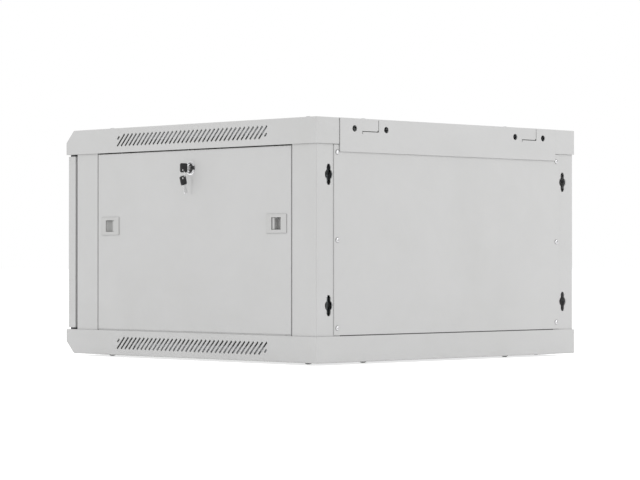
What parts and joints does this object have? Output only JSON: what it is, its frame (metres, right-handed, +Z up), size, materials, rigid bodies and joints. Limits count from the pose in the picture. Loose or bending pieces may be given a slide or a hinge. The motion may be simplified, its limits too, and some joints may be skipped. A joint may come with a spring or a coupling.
{
  "type": "wall mount network cabinet",
  "caption": "Box-shaped sheet-steel wall cabinet for 19 inch equipment: slanted side vents, glazed hinged door, latched lift-off side panels with a lock, hanging bar behind.",
  "frame": {"origin": "on the wall plane, midway between the four hanging holes of the rear top crossbar", "axes": "+Y points into the wall, +Z is up, and the door faces -Y with its hinge at +X"},
  "size_m": [0.6216, 0.6025, 0.3786],
  "materials": {
    "cabinet_paint": "light grey textured powder coat on folded sheet steel",
    "zinc_rail": "zinc plated folded steel",
    "bolt_steel": "bright zinc plated steel",
    "latch_plastic": "light grey moulded plastic, fine matt grain",
    "lock_chrome": "polished chrome plate on a die cast lock",
    "lock_core": "dull nickel plated die casting",
    "key_head": "black moulded key head with a nickel plated blade",
    "ring_steel": "bright spring steel wire",
    "door_glass": "clear tempered glass with a grey tint",
    "seal_foam": "black closed cell foam tape",
    "bush_nylon": "black nylon"
  },
  "bodies": {
    "cabinet": {"bottom_cover": "cabinet_paint", "bottom_hinge_pin": "bolt_steel", "cable_entry_plate_bottom": "cabinet_paint", "cable_entry_plate_top": "cabinet_paint", "cover_bolts_bottom": "bolt_steel", "cover_bolts_top": "bolt_steel", "depth_rail_bottom_left": "zinc_rail", "depth_rail_bottom_right": "zinc_rail", "depth_rail_top_left": "zinc_rail", "depth_rail_top_right": "zinc_rail", "front_post_left": "cabinet_paint", "front_post_right": "cabinet_paint", "latch_housing_front_left": "latch_plastic", "latch_housing_front_right": "latch_plastic", "latch_housing_rear_left": "latch_plastic", "latch_housing_rear_right": "latch_plastic", "rack_rail_front_left": "zinc_rail", "rack_rail_front_right": "zinc_rail", "rack_rail_rear_left": "zinc_rail", "rack_rail_rear_right": "zinc_rail", "rail_bolts": "bolt_steel", "rear_bottom_crossbar": "zinc_rail", "rear_panel": "cabinet_paint", "rear_panel_screws": "bolt_steel", "rear_post_left": "cabinet_paint", "rear_post_right": "cabinet_paint", "rear_top_crossbar": "cabinet_paint", "side_lock_catches": "cabinet_paint", "side_lock_housing_left": "lock_chrome", "side_lock_housing_right": "lock_chrome", "side_lock_nuts": "bolt_steel", "side_panel_left": "cabinet_paint", "side_panel_right": "cabinet_paint", "top_cover": "cabinet_paint"},
    "door": {"door_frame": "cabinet_paint", "door_seal": "seal_foam", "door_glass": "door_glass", "glass_clips": "bolt_steel", "hinge_bushes": "bush_nylon", "hinge_pin_bracket": "bolt_steel", "door_lock_housing": "lock_chrome", "door_lock_nut": "bolt_steel"},
    "sprung_hinge_pin": {"top_hinge_pin": "bolt_steel"},
    "door_lock": {"door_lock_plug": "lock_core", "door_lock_cam": "bolt_steel"},
    "side_lock_right": {"side_lock_plug_right": "lock_core", "side_lock_cam_right": "bolt_steel", "inserted_key": "key_head"},
    "side_lock_left": {"side_lock_plug_left": "lock_core", "side_lock_cam_left": "bolt_steel"},
    "key_ring": {"key_ring": "ring_steel"},
    "spare_key": {"spare_key": "key_head"},
    "latch_front_left": {"latch_slider_front_left": "latch_plastic"},
    "latch_front_right": {"latch_slider_front_right": "latch_plastic"},
    "latch_rear_left": {"latch_slider_rear_left": "latch_plastic"},
    "latch_rear_right": {"latch_slider_rear_right": "latch_plastic"}
  },
  "joints": [
    {"name": "door_hinge", "type": "hinge", "parent": "cabinet", "child": "door", "pos_m": [0.288, -0.58995, -0.17], "axis": [0, 0, 1], "range_deg": [0, 180]},
    {"name": "door_lock_turn", "type": "hinge", "parent": "door", "child": "door_lock", "pos_m": [-0.262, -0.5993, -0.17], "axis": [0, 1, 0], "range_deg": [0, 90]},
    {"name": "sprung_hinge_pin_slide", "type": "slide", "parent": "door", "child": "sprung_hinge_pin", "axis": [0, 0, -1], "range_m": [0, 0.007], "stiffness_N_per_m": 400, "springref_m": -0.005},
    {"name": "side_lock_turn_right", "type": "hinge", "parent": "cabinet", "child": "side_lock_right", "pos_m": [0.298, -0.2889, -0.0546], "axis": [1, 0, 0], "range_deg": [0, 90]},
    {"name": "side_lock_turn_left", "type": "hinge", "parent": "cabinet", "child": "side_lock_left", "pos_m": [-0.298, -0.2889, -0.0546], "axis": [-1, 0, 0], "range_deg": [0, 90]},
    {"name": "key_ring_swing", "type": "hinge", "parent": "side_lock_right", "child": "key_ring", "pos_m": [0.3142, -0.2889, -0.0586], "axis": [0, 1, 0], "range_deg": [-60, 5]},
    {"name": "spare_key_swing", "type": "hinge", "parent": "key_ring", "child": "spare_key", "pos_m": [0.3142, -0.2889, -0.0708], "axis": [0, 1, 0], "range_deg": [-45, 5]},
    {"name": "latch_front_left_slide", "type": "slide", "parent": "cabinet", "child": "latch_front_left", "axis": [0, 1, 0], "range_m": [0, 0.0042], "stiffness_N_per_m": 500, "springref_m": -0.004},
    {"name": "latch_front_right_slide", "type": "slide", "parent": "cabinet", "child": "latch_front_right", "axis": [0, 1, 0], "range_m": [0, 0.0042], "stiffness_N_per_m": 500, "springref_m": -0.004},
    {"name": "latch_rear_left_slide", "type": "slide", "parent": "cabinet", "child": "latch_rear_left", "axis": [0, -1, 0], "range_m": [0, 0.0042], "stiffness_N_per_m": 500, "springref_m": -0.004},
    {"name": "latch_rear_right_slide", "type": "slide", "parent": "cabinet", "child": "latch_rear_right", "axis": [0, -1, 0], "range_m": [0, 0.0042], "stiffness_N_per_m": 500, "springref_m": -0.004}
  ]
}
